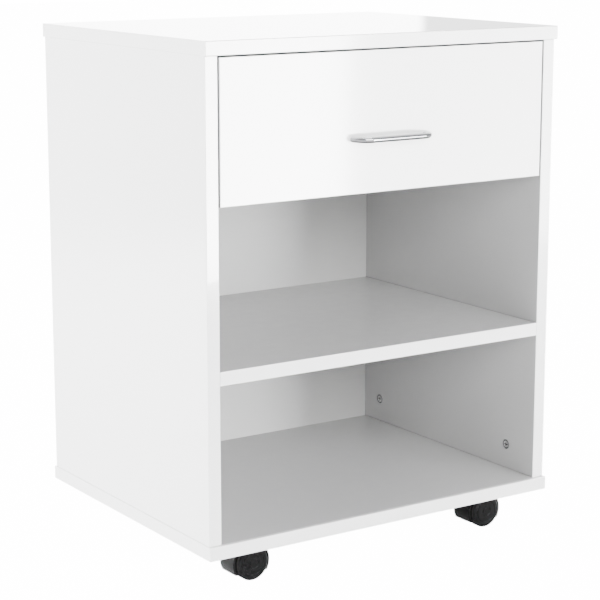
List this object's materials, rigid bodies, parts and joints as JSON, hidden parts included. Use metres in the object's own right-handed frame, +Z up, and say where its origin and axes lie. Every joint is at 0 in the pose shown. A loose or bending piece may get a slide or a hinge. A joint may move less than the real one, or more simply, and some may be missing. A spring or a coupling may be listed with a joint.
{
  "type": "rolling pedestal cabinet",
  "caption": "Low rolling cabinet of white gloss boards with a drawer under the top, two open compartments below it, a bow handle and hooded twin-wheel casters.",
  "frame": {"origin": "on the floor under the middle of the object's box, at wheel contact height", "axes": "+Z up, +X to the cabinet's right as seen from its front, -Y out of the drawer's face"},
  "size_m": [0.46, 0.376, 0.59],
  "materials": {
    "gloss_board": "chipboard wrapped in white high-gloss foil, with white edge banding",
    "drawer_board": "chipboard with white satin melamine",
    "thin_board": "thin hardboard with a white satin face",
    "zinc_cam": "die-cast zinc",
    "plated_steel": "bright zinc plating",
    "caster_steel": "pressed steel with zinc plating",
    "chrome_rod": "polished chrome",
    "runner_enamel": "white powder coat",
    "white_nylon": "white nylon",
    "black_nylon": "black moulded nylon, glossy",
    "black_wheel": "black moulded nylon, glossy face and dull tread",
    "beech_dowel": "plain beech"
  },
  "bodies": {
    "carcass": {"top_panel": "gloss_board", "bottom_panel": "gloss_board", "left_side_panel": "gloss_board", "right_side_panel": "gloss_board", "back_panel": "thin_board", "middle_shelf": "gloss_board", "side_cam_locks": "zinc_cam", "side_cam_bolts": "plated_steel", "side_dowels": "beech_dowel", "shelf_cam_locks": "zinc_cam", "shelf_cam_bolts": "plated_steel", "shelf_dowels": "beech_dowel", "left_cabinet_runner": "runner_enamel", "right_cabinet_runner": "runner_enamel", "cabinet_runner_screws": "plated_steel", "cabinet_roller_rivets": "plated_steel", "front_left_caster_plate": "caster_steel", "front_right_caster_plate": "caster_steel", "back_left_caster_plate": "caster_steel", "back_right_caster_plate": "caster_steel", "front_left_kingpin": "caster_steel", "front_right_kingpin": "caster_steel", "back_left_kingpin": "caster_steel", "back_right_kingpin": "caster_steel", "caster_screws": "plated_steel"},
    "drawer": {"drawer_front": "gloss_board", "drawer_left_side": "drawer_board", "drawer_right_side": "drawer_board", "drawer_back": "drawer_board", "drawer_bottom": "thin_board", "drawer_cam_locks": "zinc_cam", "drawer_cam_bolts": "plated_steel", "drawer_back_screws": "plated_steel", "drawer_handle": "chrome_rod", "handle_screws": "plated_steel", "left_drawer_runner": "runner_enamel", "right_drawer_runner": "runner_enamel", "drawer_runner_screws": "plated_steel", "drawer_roller_rivets": "plated_steel"},
    "left_cabinet_roller": {"left_cabinet_roller": "white_nylon"},
    "left_drawer_roller": {"left_drawer_roller": "white_nylon"},
    "right_cabinet_roller": {"right_cabinet_roller": "white_nylon"},
    "right_drawer_roller": {"right_drawer_roller": "white_nylon"},
    "front_left_caster": {"front_left_caster_hood": "black_nylon", "front_left_caster_axle": "caster_steel"},
    "front_left_front_wheel": {"front_left_caster_front_wheel": "black_wheel"},
    "front_left_back_wheel": {"front_left_caster_back_wheel": "black_wheel"},
    "front_right_caster": {"front_right_caster_hood": "black_nylon", "front_right_caster_axle": "caster_steel"},
    "front_right_front_wheel": {"front_right_caster_front_wheel": "black_wheel"},
    "front_right_back_wheel": {"front_right_caster_back_wheel": "black_wheel"},
    "back_left_caster": {"back_left_caster_hood": "black_nylon", "back_left_caster_axle": "caster_steel"},
    "back_left_front_wheel": {"back_left_caster_front_wheel": "black_wheel"},
    "back_left_back_wheel": {"back_left_caster_back_wheel": "black_wheel"},
    "back_right_caster": {"back_right_caster_hood": "black_nylon", "back_right_caster_axle": "caster_steel"},
    "back_right_front_wheel": {"back_right_caster_front_wheel": "black_wheel"},
    "back_right_back_wheel": {"back_right_caster_back_wheel": "black_wheel"}
  },
  "joints": [
    {"name": "drawer_slide", "type": "slide", "parent": "carcass", "child": "drawer", "axis": [0, -1, 0], "range_m": [0, 0.24]},
    {"name": "left_cabinet_roller_spin", "type": "hinge", "parent": "carcass", "child": "left_cabinet_roller", "pos_m": [-0.208, -0.14, 0.4405], "axis": [1, 0, 0], "continuous": true},
    {"name": "left_drawer_roller_spin", "type": "hinge", "parent": "drawer", "child": "left_drawer_roller", "pos_m": [-0.2065, 0.125, 0.4415], "axis": [1, 0, 0], "continuous": true},
    {"name": "right_cabinet_roller_spin", "type": "hinge", "parent": "carcass", "child": "right_cabinet_roller", "pos_m": [0.208, -0.14, 0.4405], "axis": [1, 0, 0], "continuous": true},
    {"name": "right_drawer_roller_spin", "type": "hinge", "parent": "drawer", "child": "right_drawer_roller", "pos_m": [0.2065, 0.125, 0.4415], "axis": [1, 0, 0], "continuous": true},
    {"name": "front_left_caster_swivel", "type": "hinge", "parent": "carcass", "child": "front_left_caster", "pos_m": [-0.163, -0.11, 0.0462], "axis": [0, 0, 1], "continuous": true},
    {"name": "front_left_front_wheel_spin", "type": "hinge", "parent": "front_left_caster", "child": "front_left_front_wheel", "pos_m": [-0.149, -0.1228, 0.02], "axis": [0, 1, 0], "continuous": true},
    {"name": "front_left_back_wheel_spin", "type": "hinge", "parent": "front_left_caster", "child": "front_left_back_wheel", "pos_m": [-0.149, -0.0972, 0.02], "axis": [0, 1, 0], "continuous": true},
    {"name": "front_right_caster_swivel", "type": "hinge", "parent": "carcass", "child": "front_right_caster", "pos_m": [0.163, -0.11, 0.0462], "axis": [0, 0, 1], "continuous": true},
    {"name": "front_right_front_wheel_spin", "type": "hinge", "parent": "front_right_caster", "child": "front_right_front_wheel", "pos_m": [0.177, -0.1228, 0.02], "axis": [0, 1, 0], "continuous": true},
    {"name": "front_right_back_wheel_spin", "type": "hinge", "parent": "front_right_caster", "child": "front_right_back_wheel", "pos_m": [0.177, -0.0972, 0.02], "axis": [0, 1, 0], "continuous": true},
    {"name": "back_left_caster_swivel", "type": "hinge", "parent": "carcass", "child": "back_left_caster", "pos_m": [-0.163, 0.126, 0.0462], "axis": [0, 0, 1], "continuous": true},
    {"name": "back_left_front_wheel_spin", "type": "hinge", "parent": "back_left_caster", "child": "back_left_front_wheel", "pos_m": [-0.149, 0.1132, 0.02], "axis": [0, 1, 0], "continuous": true},
    {"name": "back_left_back_wheel_spin", "type": "hinge", "parent": "back_left_caster", "child": "back_left_back_wheel", "pos_m": [-0.149, 0.1388, 0.02], "axis": [0, 1, 0], "continuous": true},
    {"name": "back_right_caster_swivel", "type": "hinge", "parent": "carcass", "child": "back_right_caster", "pos_m": [0.163, 0.126, 0.0462], "axis": [0, 0, 1], "continuous": true},
    {"name": "back_right_front_wheel_spin", "type": "hinge", "parent": "back_right_caster", "child": "back_right_front_wheel", "pos_m": [0.177, 0.1132, 0.02], "axis": [0, 1, 0], "continuous": true},
    {"name": "back_right_back_wheel_spin", "type": "hinge", "parent": "back_right_caster", "child": "back_right_back_wheel", "pos_m": [0.177, 0.1388, 0.02], "axis": [0, 1, 0], "continuous": true}
  ],
  "couplings": [
    {"joint": "left_cabinet_roller_spin", "follows": "drawer_slide", "rad_per_m": 100},
    {"joint": "left_drawer_roller_spin", "follows": "drawer_slide", "rad_per_m": 100},
    {"joint": "right_cabinet_roller_spin", "follows": "drawer_slide", "rad_per_m": 100},
    {"joint": "right_drawer_roller_spin", "follows": "drawer_slide", "rad_per_m": 100}
  ]
}
